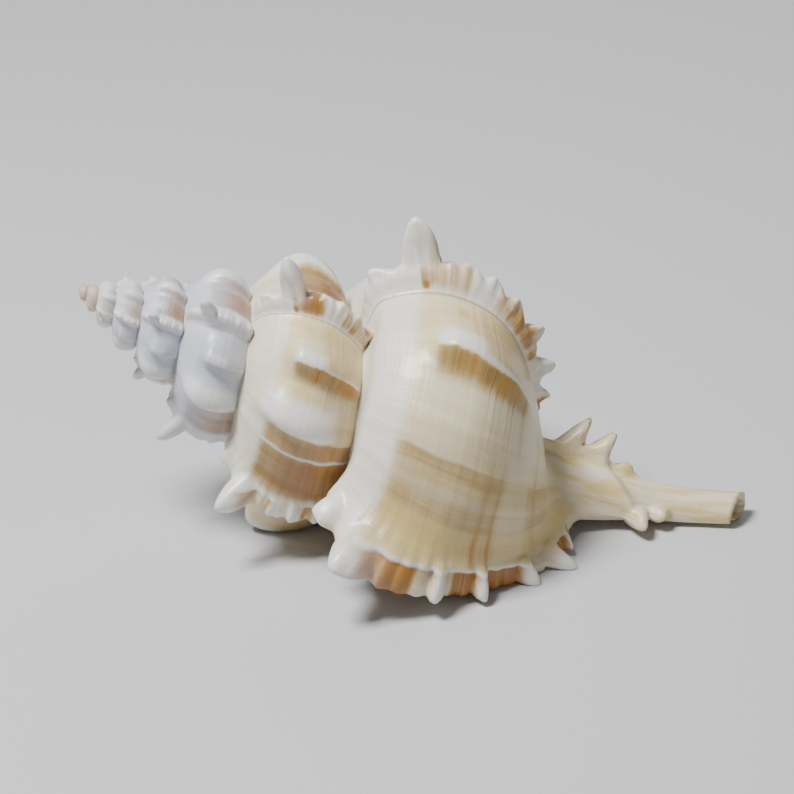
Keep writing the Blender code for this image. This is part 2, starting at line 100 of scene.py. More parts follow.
# Varices: growth angle between them, their slopes in degrees of growth, and the height of their ridge at
# stations from the suture to the canal: on each varix, and on the last one, at the lip
FIRST_VARIX_STEP = 106.4
VARIX_STEP = 113.1
VARIX_COUNT = 20
VARIX_BACK = 10.0
VARIX_FRONT = 6.0
LAST_VARIX_FRONT = 4.2
RIDGE_STATIONS = (-69.0, -47.0, -25.0, -13.0, 0.0, 12.0, 30.0, 50.0, 70.0, 95.0)
RIDGE_HEIGHTS = (0.3, 2.7, 3.9, 4.1, 3.6, 3.1, 2.6, 2.2, 1.8, 1.2)
LAST_RIDGE_HEIGHTS = (0.3, 3.0, 5.6, 6.4, 4.4, 2.2, 1.2, 2.1, 3.0, 2.2)
SPINE_BACK = 8.0
SPINE_FRONT = 3.0
SPINE_CREST = -1.2
SPINE_GROOVE = 0.45
SPINE_GROOVE_WIDTH = 0.4
SPINE_BLUNTNESS = 1.9

# Spines of a varix: (station, height, half width in degrees of station)
SHOULDER_SPINE = (-24.7, 7.8, 8.2)
SMALL_SPINES = (
    (-45.0, 1.4, 5.0),
    (-4.0, 0.8, 5.0),
    (8.0, 1.2, 4.5),
    (21.0, 1.4, 4.5),
    (35.0, 2.6, 4.0),
    (50.0, 3.0, 4.0),
    (64.0, 1.8, 4.5),
)
LAST_SPINES = (
    (-44.0, 2.4, 6.5),
    (7.0, 2.2, 4.0),
    (25.0, 2.6, 4.0),
    (46.0, 2.6, 4.5),
    (61.0, 3.4, 5.5),
    (76.0, 3.0, 4.5),
)
# How much of the shoulder spine each varix keeps, from the mouth back: some are worn or broken
SPINE_KEPT = (0.6, 1.02, 0.9, 0.95, 1.5, 1.1, 1.1, 1.0, 0.6, 0.68, 0.9, 0.5)
SPINE_KEPT_SPIRE = 0.4
# The small spines of the first varices are worn down to this share
SMALL_KEPT = 0.5
FIRST_WORN_VARIX = 5

# Two ribs between varices: degrees of growth after the older varix, and their heights on the body whorl from
# the mouth back and then on the spire
RIBS_AFTER = (33.0, 63.0)
RIB_HEIGHTS = ((0.0, 0.0), (3.0, 0.3), (3.2, 2.4), (6.8, 3.3), (4.4, 3.6), (4.8, 6.2))
RIB_HEIGHTS_SPIRE = (4.4, 6.0)
RIB_SLOPES = (12.0, 5.0)
BODY_VARICES = 3
RIB_STATION_BODY = -7.5
RIB_STATION_SPIRE = -12.0
RIB_SPREADS_BACK = (11.0, 24.0)
RIB_SPREAD_FRONT = 34.0
RIB_LEAN = 0.03

# The inner lip's glaze: its height, where it starts and ends in growth angle, and its edge past the suture
CALLUS = 0.6
CALLUS_START = -357.5
CALLUS_END = (-336.0, -329.0)
CALLUS_EDGE = (2.0, 10.0)

# The lip and the varices fall back towards the canal, by this much growth angle over these stations
SWEEP = -3.0
SWEEP_STATIONS = (42.0, 95.0)
NECK_STATIONS = 33.0
NECK_RELIEF = 0.8

# The last varices run on along the canal as low ridges
CANAL_VARICES = 3
CANAL_RIDGE = 1.7
CANAL_RIDGE_SLOPES = (16.0, 7.0)
CANAL_RIDGE_FADE = (78.0, 94.0)

# Relief on the canal rises this much outward and this much towards its tip
CANAL_RISE_OUT = 0.93
CANAL_RISE_ALONG = 0.3
CANAL_AROUND = 4.0

# Spines along the canal: (growth angle, distance from the apex, height, half width)
CANAL_SPINES = (
    (-125.0, 77.2, 5.3, 1.7),
    (-123.0, 81.8, 4.2, 1.6),
    (-117.0, 86.5, 1.2, 1.7),
    (-12.0, 90.2, 3.1, 1.6),
    (-18.0, 93.2, 2.0, 1.5),
    (-237.0, 70.0, 3.4, 1.8),
    (-233.0, 76.0, 3.0, 1.7),
)

# The mouth
MOUTH_WALL = 1.9
LIP_SHARE = 0.45
LIP_ROUNDING = 1.5
MOUTH_DEPTH = 600.0
MOUTH_FIRST = 0.03
MOUTH_RING_POWER = 1.3
CANAL_SHALLOW = 0.92
CORNER_STATIONS = 9.0
CORNER_GAP = 0.25
CORNER_BLEND = 30.0
THIN_SHARE = 0.6
DEEPEST_NECK = -700.0

# How the shell lies
WORLD_OF_MOUTH = 114.3
ROLL = -8.86
PITCH = 25.82
FOOT_WORN = 0.25

# The fine mesh: rows in each part of a column, millimetres and most degrees from one column to the next, and
# how much closer and over which angles the columns are at a varix
STRIP_ROWS = 84
BASE_ROWS = 18
NECK_ROWS = 18
CANAL_ROWS = 38
HOLE_ROWS = 8
MOUTH_RINGS = 42
COLUMN_STEP = 0.68
LONGEST_STEP = 5.5
FINE_SHARE = 0.45
FINE_BACK = 12.0
FINE_FRONT = 5.0

# Cords across the varices: stations to the next, how they wander, height, slopes, and share on the spire
CORD_EVERY = 6.6
CORD_WANDER = 0.9
CORD_WANDER_WAVES = 5.0
CORD_HEIGHT = 0.42
CORD_SLOPES = (9.0, 4.0)
CORDS_KEPT = 0.4
# Creases that a paused lip leaves: growth angle after a varix, height, and slopes behind and in front. They
# are deep after one varix.
CREASES = ((79.0, 0.30, 3.2, 0.8), (68.5, 0.14, 2.5, 1.0))
CREASED_VARIX = 4
CREASE_ELSEWHERE = 0.35
CREASE_WANDER = 0.9
CREASE_WANDER_WAVES = 9.0
CREASE_DRIFT = 0.02
# The thin frilled edge behind the last varix: growth angle, height, slopes, and where it rises and ends
FRILL_ANGLE = -7.0
FRILL_HEIGHT = 0.55
FRILL_SLOPES = (1.6, 0.45)
FRILL_EVERY = 5.2
FRILL_WAVE = 0.25
FRILL_STATIONS = (-26.0, -20.0, 44.0, 52.0)
# Slight unevenness and shallow growth folds: heights, and waves in 360 degrees of growth or station
UNEVEN = 0.12
UNEVEN_WAVES = (11.0, 3.0, 5.3)
FOLDS = 0.05
FOLD_WAVES = (47.0, 9.3, 2.0)
# Fine relief starts over these stations, past the suture
FINE_STARTS = (-64.0, -52.0)
# The canal's tip is cut this much shorter on one side, and a low crest crosses the canal between two spines
CANAL_CUT = 2.4
CANAL_CUT_SIDE = -48.0
CANAL_LONGER = 0.9
CREST_ANGLES = (-125.0, -12.0)
CREST_FADES = (15.0, 12.0)
CREST_REACHES = (80.0, 90.2)
CREST_HEIGHT = 1.5
CREST_SLOPES = (3.4, 1.5)
# The colours count this many stations a millimetre along the canal
STATIONS_PER_MM = 3.0

# The place of the solid before it was laid on the floor: its box's middle, and its lowest point
SOLID_AT = (50.5852, -4.7221, -38.6052)

# Camera: where the shell is seen from
CAMERA_AZIMUTH = 4.73
CAMERA_ELEVATION = 27.96
CAMERA_ROLL = -2.45
CAMERA_DISTANCE = 500.0
CAMERA_TARGET = (-2.44, -0.55, 22.35)
PICTURE_WIDTH = 116.3
SENSOR = 36.0
CLIP_START = 0.01

# Studio, in metres: the floor, the light of the surroundings, and lamps as (name, place, size, power)
FLOOR_COLOUR = (0.57, 0.575, 0.59, 1.0)
FLOOR_ROUGHNESS = 0.6
FLOOR_HALF_SIZE = 2.0
SKY_COLOUR = (0.92, 0.96, 1.0, 1.0)
SKY_STRENGTH = 0.13
LAMPS_AIM = (0.0, 0.0, 0.02)
LAMPS = (
    ("key", (-0.20, -0.08, 0.52), 0.17, 5.6),
    ("fill", (0.40, -0.50, 0.35), 0.50, 0.42),
    ("back", (0.15, 0.50, 0.35), 0.40, 0.6),
)

# Colours
IVORY = (0.79, 0.71, 0.51, 1.0)
WHITE = (0.82, 0.795, 0.735, 1.0)
CREAM = (0.69, 0.52, 0.21, 1.0)
HONEY = (0.55, 0.315, 0.065, 1.0)
TAN = (0.32, 0.185, 0.040, 1.0)
BROWN = (0.30, 0.125, 0.026, 1.0)
ORANGE = (0.34, 0.135, 0.017, 1.0)
LAVENDER = (0.49, 0.53, 0.65, 1.0)
PINK = (0.64, 0.44, 0.30, 1.0)
INSIDE = (0.80, 0.67, 0.52, 1.0)

# Places of the colours: (start, full) of a rise, (middle, width) of a line, or (from, to, soft edge before,
# soft edge after) of a band. AFTER is in degrees of growth after a varix, NEAR from the nearest one, AGE back
# from the lip, and ACROSS in degrees of station. A patch has a band after and one across.
CANAL_ACROSS = (80.0, 105.0)
SHOULDER_ACROSS = (-33.0, -25.0)
LIP_AGE = (30.0, 45.0)
BODY_AGE = (120.0, 230.0)
OLD_AGE = (230.0, 330.0)
SPIRE_AGE = (490.0, 690.0)
WHITE_AGE = (1250.0, 1700.0)
PINK_AGE = (1950.0, 2250.0)

PALE_AFTER = (44.0, 64.0, 8.0, 6.0)
FLUSH = ((12.0, 31.5, 5.0, 1.5), (4.0, 44.0, 10.0, 6.0))
LIP_SLOPE_NEAR = (-16.0, -7.5, 6.0, 0.8)

# Tan: the share that each growth line adds, and where
TAN_STARTS_AFTER = ((0.22, (56.0, 58.0)), (0.53, (67.5, 69.0)), (0.25, (79.5, 84.0)))
TAN_ENDS_AFTER = (99.0, 108.0)
TAN_ENDS_ACROSS = (56.0, 70.0)
TAN_FADED_AFTER = (76.0, 84.0, 6.0, 8.0)
TAN_LIGHT_ACROSS = (31.0, 44.0, 4.0, 4.0)
# Stations from which the older whorls turn dark brown towards their undersides: partly their own colour and
# partly painted shade
BROWN_AND_SHADE_ACROSS = (-40.0, 10.0)

SPIRAL_LINES_ACROSS = ((19.5, 2.6), (26.5, 2.0))
SPIRAL_LINES_AFTER = (52.0, 96.0)
SPIRAL_BAND_ACROSS = (17.0, 28.0, 4.0, 4.0)
SPIRAL_BAND_AFTER = (48.0, 90.0)
EDGE_LINE_ACROSS = (52.0, 3.2)
EDGE_LINE_AFTER = (25.0, 60.0)

# Tan on the front of each rib and its trail: partly the shell's own tan and partly painted shade under the
# rib's crest
RIB_FRONT_TAN_AND_SHADE = ((35.0, 38.0, 1.6, 7.5), (-14.0, 30.0, 5.0, 12.0))
RIB_TRAIL_TAN_AND_SHADE = ((36.0, 48.0, 2.0, 26.0), (12.0, 34.0, 10.0, 8.0))
RIB_STAINS_AFTER = (34.5, 38.5, 1.5, 5.0)
RIB_STAINS_ACROSS = ((0.0, 0.0, 9.0, 9.0), (17.0, 30.0, 8.0, 6.0))
KNOB = ((29.5, 33.3, 4.0, 1.4), (-14.0, 0.0, 6.0, 6.0))
RIB_CREST = ((32.8, 33.6, 0.9, 0.8), (2.0, 40.0, 6.0, 8.0))
SECOND_RIB = ((54.0, 66.3, 6.0, 1.2), (-30.0, 10.0, 12.0, 18.0))
CREASE_AFTER = (79.0, 1.8)
CREASE_AGE = (335.0, 455.0, 10.0, 10.0)
SPOT = ((16.0, 16.0, 6.0, 6.0), (-6.0, -6.0, 5.0, 5.0))
SPECKED = ((62.0, 62.0, 6.0, 6.0), (-12.0, -12.0, 9.0, 9.0))

VARIX_NEAR = (-7.0, 6.2, 4.0, 1.2)
PATCHES_NEAR = (-6.3, 4.0, 0.8, 3.0)
PATCHES_ACROSS = ((-24.0, -4.0, 3.0, 3.0), (13.0, 42.0, 3.0, 5.0), (66.0, 78.0, 3.0, 4.0))
FRILL_NEAR = (FRILL_ANGLE, 1.1)
FRILL_ACROSS = (-24.0, 46.0, 5.0, 5.0)
SPINE_STAINS_NEAR = ((2.2, 1.0), (4.8, 1.4))
SPINE_STAINS_ACROSS = (-24.0, 3.0)
SEAM_NEAR = (6.9, 0.9)

# How far from a varix it stops counting as near, and how far from its crest the growth after it is used. The
# growth after a varix is counted from this little before its crest.
BESIDE_ENDS = (18.0, 26.0)
APART_STARTS = (0.8, 2.5)
CREST_SLACK = 1.0
NO_VARIX_BEFORE = 1e6
# How much of a spine is white, and how white the foot of the shoulder spine is
SPINE_WHITE = (0.25, 0.75)
SPINE_FOOT = 0.9
SPINE_FOOT_SLOPES = (7.0, 3.0)

# Noise: waves a millimetre along and across the whorls, detail, and a shift. A pattern also has the values
# where it starts and is full.
THREADS = ((0.03, 1.9, 4.0, 7.0), (0.34, 0.68))
BROAD_THREADS = ((0.02, 0.45, 2.0, 11.0), (0.30, 0.70))
STREAKS = ((0.60, 0.035, 4.0, 3.0), (0.36, 0.66))
BROAD_STREAKS = ((0.22, 0.03, 3.0, 13.0), (0.36, 0.64))
SPECKS = ((2.6, 2.6, 2.0, 31.0), (0.64, 0.70))
GROWTH_LINES = ((1.3, 0.06, 5.0, 17.0), (0.50, 0.74))
CLOUDS = (0.12, 0.15, 3.0, 9.0)
CLOUDS_PATCHY = (0.36, 0.60)
CLOUDS_BROKEN = (0.1, 0.4)
CLOUDS_CANAL = (0.42, 0.62)
CHALK = (0.5, 0.5, 4.0, 21.0)
NOISE_ROUGHNESS = 0.6
# Borders wander by up to this much, with noise of this kind
ACROSS_WANDER = (2.5, (0.10, 0.35, 3.0, 1.0))
AFTER_WANDER = (2.2, (0.25, 0.20, 3.0, 5.0))

# The glaze
GLAZE = {
    "Subsurface Weight": 0.10,
    "Subsurface Radius": (0.004, 0.0025, 0.0015),
    "Subsurface Scale": 0.25,
    "Coat Weight": 0.20,
    "Coat Roughness": 0.16,
}
SMOOTHEST = 0.24
ROUGHEST = 0.48
# Its grooves, threads and grain: noise and share
BUMPS = (((1.1, 0.04, 5.0, 17.0), 0.55), ((0.015, 1.35, 2.0, 2.0), 0.5), ((2.2, 2.2, 3.0, 23.0), 0.10))
BUMP_STRENGTH = 0.45
BUMP_DEPTH = 0.0004


def smooth(value, low, high):
    """0 below low, 1 above high, and an even S between."""
    share = np.clip((value - low) / (high - low), 0.0, 1.0)
    return share * share * (3.0 - 2.0 * share)


def growth(angle):
    """The shell's size at a growth angle, as a share of its size at the last varix."""
    return WHORL_RATIO ** (angle / 360.0)


def bump(distance, back, front):
    """A smooth hill, 1 at distance 0, with its own width on each side."""
    width = np.where(distance < 0, back, front)
    return np.exp(-((distance / width) ** 2))


def cone(distance):
    """A blunt cone, 1 in the middle and 0 from distance 1 on."""
    return np.clip(1.0 - distance**SPINE_BLUNTNESS, 0.0, 1.0)


def spine(past, across):
    """A spine with a groove down its front: past is degrees of growth after its varix."""
    groove = 1.0 - SPINE_GROOVE * bump(across, SPINE_GROOVE_WIDTH, SPINE_GROOVE_WIDTH)
    along = past - SPINE_CREST
    along = along / np.where(along < 0, SPINE_BACK, SPINE_FRONT * groove)
    return cone(np.hypot(along, across))


def varix_slope(past, front):
    """A varix's profile: 1 at its crest, a long slope behind it and a short face with a crisp foot."""
    face = np.cos(np.clip(past / front, 0.0, 1.0) * math.pi / 2.0)
    return np.where(past < 0, bump(past, VARIX_BACK, VARIX_BACK), face)


def varix_angles():
    steps = [VARIX_STEP] * (VARIX_COUNT - 2)
    return -np.cumsum([0.0, FIRST_VARIX_STEP, *steps])


def spine_kept(index):
    return SPINE_KEPT[index] if index < len(SPINE_KEPT) else SPINE_KEPT_SPIRE


def suture_station(angle):
    """Where the next whorl covers this one: further towards the canal on the last whorls."""
    return SUTURE_STATION + SUTURE_DROP * smooth(angle, *SUTURE_DROP_ANGLES)


def sweep(station):
    return SWEEP * smooth(station, *SWEEP_STATIONS)


def rib_heights(index):
    return RIB_HEIGHTS[index] if index < len(RIB_HEIGHTS) else RIB_HEIGHTS_SPIRE


def wave(degrees):
    return np.sin(np.radians(degrees))


def canal_cut(angle):
    """How much shorter the canal is on this side."""
    return CANAL_CUT * (0.5 + 0.5 * np.cos(np.radians(angle - CANAL_CUT_SIDE))) - CANAL_LONGER


def canal_crest(angle, reach):
    """Height of the low crest across the canal."""
    middle = np.interp(angle, CREST_ANGLES, CREST_REACHES)
    first, last = CREST_ANGLES
    rise, fall = CREST_FADES
    shown = smooth(angle, first - rise, first) * (1.0 - smooth(angle, last, last + fall))
    return CREST_HEIGHT * shown * bump(reach - middle, *CREST_SLOPES)


def unevenness(angle, station):
    """Slight unevenness and shallow folds, in millimetres at growth angle 0."""
    along, slant, across = UNEVEN_WAVES
    height = UNEVEN * wave(along * angle + slant * station) * wave(across * station)
    along, slow, slant = FOLD_WAVES
    return height + FOLDS * wave(along * angle) * wave(slow * angle + slant * station)


def frill(angle, station):
    """Height of the frilled edge behind the last varix."""
    rising, up, down, gone = FRILL_STATIONS
    shown = smooth(station, rising, up) * (1.0 - smooth(station, down, gone))
    shown *= 1.0 - FRILL_WAVE + FRILL_WAVE * np.cos(math.tau * station / FRILL_EVERY)
    return FRILL_HEIGHT * shown * bump(angle - FRILL_ANGLE, *FRILL_SLOPES)


def fine_relief(angle, station):
    """Cords across the varices, creases of growth and slight unevenness, in millimetres at growth angle 0."""
    wander = CORD_WANDER * wave(CORD_WANDER_WAVES * station)
    cord = 0.5 + 0.5 * np.cos(math.tau * station / CORD_EVERY + wander)
    wander = CREASE_WANDER * np.sin(np.radians(CREASE_WANDER_WAVES * station) + CREASE_DRIFT * angle)
    height = unevenness(angle, station) + frill(angle, station)
    for index, varix in enumerate(varix_angles()):
        past = angle - varix
        kept = 1.0 if index < FIRST_WORN_VARIX else CORDS_KEPT
        height += kept * CORD_HEIGHT * cord * bump(past, *CORD_SLOPES)
        kept = 1.0 if index == CREASED_VARIX else CREASE_ELSEWHERE
        for after, rise, back, front in CREASES:
            height += kept * rise * bump(past - after - wander, back, front)
    return height * smooth(station, *FINE_STARTS)


def whorl_relief(angle, station):
    """Height of the varices, spines and ribs over the plain whorl, in millimetres at growth angle 0."""
    height = np.zeros_like(angle)
    uncovered = smooth(angle, *UNCOVERED_ANGLES)
    suture = suture_station(angle)
    past_suture = station - suture
    shown = 1.0 - (1.0 - uncovered) * smooth(past_suture, *COVERED_EDGE)
    for index, varix in enumerate(varix_angles()):
        past = angle - varix
        ridge = np.interp(station, RIDGE_STATIONS, RIDGE_HEIGHTS if index else LAST_RIDGE_HEIGHTS)
        height += ridge * varix_slope(past, VARIX_FRONT if index else LAST_VARIX_FRONT)
        spine_station, spine_height, width = SHOULDER_SPINE
        height += spine_kept(index) * spine_height * spine(past, (station - spine_station) / width)
        kept = 1.0 if index < FIRST_WORN_VARIX else SMALL_KEPT
        for spine_station, spine_height, width in SMALL_SPINES if index else LAST_SPINES:
            height += kept * spine_height * spine(past, (station - spine_station) / width)
        rib_station = RIB_STATION_BODY if index < BODY_VARICES else RIB_STATION_SPIRE
        from_rib = station - rib_station
        for after, rib_height, spread_back in zip(RIBS_AFTER, rib_heights(index), RIB_SPREADS_BACK):
            along = past - after - RIB_LEAN * from_rib
            spread = bump(from_rib, spread_back, RIB_SPREAD_FRONT)
            height += rib_height * bump(along, *RIB_SLOPES) * spread
    callus = (1.0 - smooth(angle, *CALLUS_END)) * (angle > CALLUS_START)
    callus = CALLUS * callus * smooth(past_suture, *CALLUS_EDGE)
    height += fine_relief(angle, station)
    return height * shown + callus


def canal_radius(reach, angle):
    """The canal's radius, which grows along the turn like a scroll and leaves a slit at the mouth."""
    turn = (angle - MOUTH_ANGLE + 180.0) / 180.0
    return np.interp(reach, CANAL_REACHES, CANAL_RADII) + CANAL_SCROLL * turn


def canal_relief(angle, reach):
    height = np.zeros_like(reach)
    fade = 1.0 - smooth(reach, *CANAL_RIDGE_FADE)
    for varix in varix_angles()[:CANAL_VARICES]:
        height += CANAL_RIDGE * fade * bump(angle - varix, *CANAL_RIDGE_SLOPES)
    for spine_angle, spine_reach, spine_height, width in CANAL_SPINES:
        around = np.radians(angle - spine_angle) * CANAL_AROUND
        distance = np.hypot(around, reach - spine_reach) / width
        height += spine_height * cone(np.clip(distance, 0.0, 1.0))
    return height


def whorl_point(angle, station):
    """(distance from the axis, distance from the apex) of the plain whorl."""
    size = growth(angle)
    start = np.clip((angle - APEX_ANGLE) / APEX_ROUNDING, 0.0, 1.0)
    opened = np.sqrt(1.0 - (1.0 - start) ** 2)
    half_length = np.where(station < 0, HALF_BACK, HALF_FRONT)
    across = np.cos(np.radians(station))
    across = np.where(station > 0, np.abs(across) ** SECTION_TAPER, across)
    radius = SECTION_RADIUS + opened * HALF_WIDTH * across
    reach = SECTION_REACH + opened * half_length * np.sin(np.radians(station))
    return radius * size, reach * size


def lean(station):
    """The way that relief rises from the section, as an angle from straight out."""
    return np.radians(RELIEF_LEAN * station)


def whorl_surface(angle, station):
    radius, reach = whorl_point(angle, station)
    height = whorl_relief(angle, station) * growth(angle)
    return radius + height * np.cos(lean(station)), reach + height * np.sin(lean(station))


def canal_start(angle):
    """Where the neck, which is the whorl's hollow base, becomes the canal."""
    radius, reach = whorl_point(angle, BASE_STATION)
    return reach + NECK_SLOPE * (radius - CANAL_RADII[0])


def neck_curve(angle, share):
    """The neck with no relief: a curve from the whorl's base, share 0, to the canal, share 1."""
    from_radius, from_reach = whorl_point(angle, BASE_STATION)
    to_reach = canal_start(angle)
    to_radius = canal_radius(to_reach, np.maximum(angle, MOUTH_ANGLE - 360.0))
    length = np.hypot(to_reach - from_reach, from_radius - to_radius)
    slope = math.radians(BASE_STATION)
    taper = SECTION_TAPER * math.cos(slope) ** (SECTION_TAPER - 1.0)
    start_radius = -HALF_WIDTH * taper * math.sin(slope)
    start_reach = HALF_FRONT * math.cos(slope)
    start_length = math.hypot(start_radius, start_reach)
    at_start = 2 * share**3 - 3 * share**2 + 1
    leaving = (share**3 - 2 * share**2 + share) * length
    at_end = 3 * share**2 - 2 * share**3
    arriving = (share**3 - share**2) * length
    radius = at_start * from_radius + at_end * to_radius + leaving * start_radius / start_length
    reach = at_start * from_reach + at_end * to_reach + leaving * start_reach / start_length + arriving
    return radius, reach


def neck_surface(angle, share):
    radius, reach = neck_curve(angle, share)
    station = BASE_STATION + NECK_STATIONS * share
    height = whorl_relief(angle, station) * growth(angle) * (1.0 - smooth(share, 0.0, 1.0))
    height += canal_relief(angle, reach) * smooth(share, 0.0, NECK_RELIEF)
    way = lean(BASE_STATION) * (1.0 - share)
    return radius + height * np.cos(way), reach + height * np.sin(way)


def canal_surface(angle, share):
    start = canal_start(angle)
    reach = start + (CANAL_TIP - canal_cut(angle) - start) * share
    height = canal_relief(angle, reach) + canal_crest(angle, reach)
    return canal_radius(reach, angle) + height * CANAL_RISE_OUT, reach + height * CANAL_RISE_ALONG


def placed(angle, radius, reach):
    """Points of the shell in its own frame: +X from the apex to the canal, with the canal bent."""
    turn = np.radians(angle + WORLD_OF_MOUTH)
    past = np.clip((reach - CANAL_BEND_START) / (CANAL_TIP - CANAL_BEND_START), 0.0, None)
    bend = CANAL_BEND * past**CANAL_BEND_POWER
    towards = math.radians(CANAL_BEND_TOWARDS)
    across = -radius * np.sin(turn) - bend * math.sin(towards)
    up = radius * np.cos(turn) + bend * math.cos(towards)
    return np.stack([reach, across, up], axis=-1)


def column_angles():
    """Growth angles of the mesh's columns, closer together at each varix."""
    fixed = [APEX_ANGLE, APEX_ANGLE + 360.0, MOUTH_ANGLE - 360.0, MOUTH_ANGLE]
    varices = varix_angles()
    angles = [APEX_ANGLE]
    while angles[-1] < MOUTH_ANGLE:
        angle = angles[-1]
        step = math.degrees(COLUMN_STEP / (OUTER_RADIUS * growth(angle)))
        past = angle - varices
        if np.any((past > -FINE_BACK) & (past < FINE_FRONT)):
            step *= FINE_SHARE
        next_fixed = min(value for value in fixed if value > angle)
        following = angle + min(step, LONGEST_STEP)
        angles.append(next_fixed if following > next_fixed - step / 2.0 else following)
    return np.array(angles)


def zipper(first, second, first_at, second_at):
    """Triangles between two lines of vertices, each ordered by the value that it has along them."""
    faces = []
    i = j = 0
    while i < len(first) - 1 or j < len(second) - 1:
        next_first = first_at[i + 1] if i < len(first) - 1 else math.inf
        next_second = second_at[j + 1] if j < len(second) - 1 else math.inf
        if next_first <= next_second:
            faces.append((first[i], first[i + 1], second[j]))
            i += 1
        else:
            faces.append((first[i], second[j + 1], second[j]))
            j += 1
    return faces


def strip_and_base(angle):
    """The stations of a column's rows, as far as the whorl's base."""
    suture = float(suture_station(angle))
    strip = np.linspace(FIRST_STATION, suture, STRIP_ROWS, endpoint=False)
    return np.concatenate([strip, np.linspace(suture, BASE_STATION, BASE_ROWS, endpoint=False)])


def neck_and_canal():
    """Shares along the neck and along the canal, and the stations that stand for those rows in a sweep."""
    neck = np.linspace(0.0, 1.0, NECK_ROWS, endpoint=False)
    canal = np.linspace(0.0, 1.0, CANAL_ROWS + 1)
    stations = np.concatenate([BASE_STATION + NECK_STATIONS * neck, np.full_like(canal, CANAL_STATION)])
    return neck, canal, stations


def column(angle, full):
    """One column of the surface, as rows: a strip of whorl or, if full, also the canal."""
    stations = strip_and_base(angle)
    if not full:
        stations = stations[:STRIP_ROWS]
    radius, reach = whorl_surface(np.full_like(stations, angle), stations)
    if angle >= APEX_ANGLE + 360.0:
        before = np.array([angle - 360.0])
        suture_radius, suture_reach = whorl_surface(before, suture_station(before))
        blend = 1.0 - smooth(stations[:STRIP_ROWS], FIRST_STATION, FIRST_STATION + SUTURE_BLEND)
        radius[:STRIP_ROWS] += (suture_radius - radius[0]) * blend
        reach[:STRIP_ROWS] += (suture_reach - reach[0]) * blend
    if full:
        neck, canal, later = neck_and_canal()
        neck_radius, neck_reach = neck_surface(np.full_like(neck, angle), neck)
        canal_r, canal_x = canal_surface(np.full_like(canal, angle), canal)
        stations = np.concatenate([stations, later])
        radius = np.concatenate([radius, neck_radius, canal_r])
        reach = np.concatenate([reach, neck_reach, canal_x])
    angles = np.full_like(stations, angle)
    return np.stack([angles + sweep(stations), radius, reach, angles, stations], axis=-1)


def mouth_ring(depth, wall):
    """A loop inside the mouth: along the outer wall to the canal's tip and back along the inner side."""
    rows = STRIP_ROWS + BASE_ROWS + NECK_ROWS + CANAL_ROWS + 1
    shallow = 1.0 - CANAL_SHALLOW * smooth(np.arange(rows), STRIP_ROWS + BASE_ROWS, rows - CANAL_ROWS)
    later = neck_and_canal()[2]
    ring = []
    stations = np.concatenate([strip_and_base(MOUTH_ANGLE), later])
    for row in range(rows):
        angle = MOUTH_ANGLE - depth * shallow[row]
        radius, reach = inside_outer(angle, row, stations[row], wall)
        ring.append((angle + sweep(stations[row]), radius, reach, angle, stations[row]))
    stations = np.concatenate([strip_and_base(MOUTH_ANGLE - 360.0), later])
    for row in range(rows - 1, STRIP_ROWS - 2, -1):
        angle = MOUTH_ANGLE - 360.0 - depth * shallow[row]
        radius, reach = inside_inner(angle, row, stations[row])
        ring.append((angle + sweep(stations[row]), radius, reach, angle, stations[row]))
    return ring


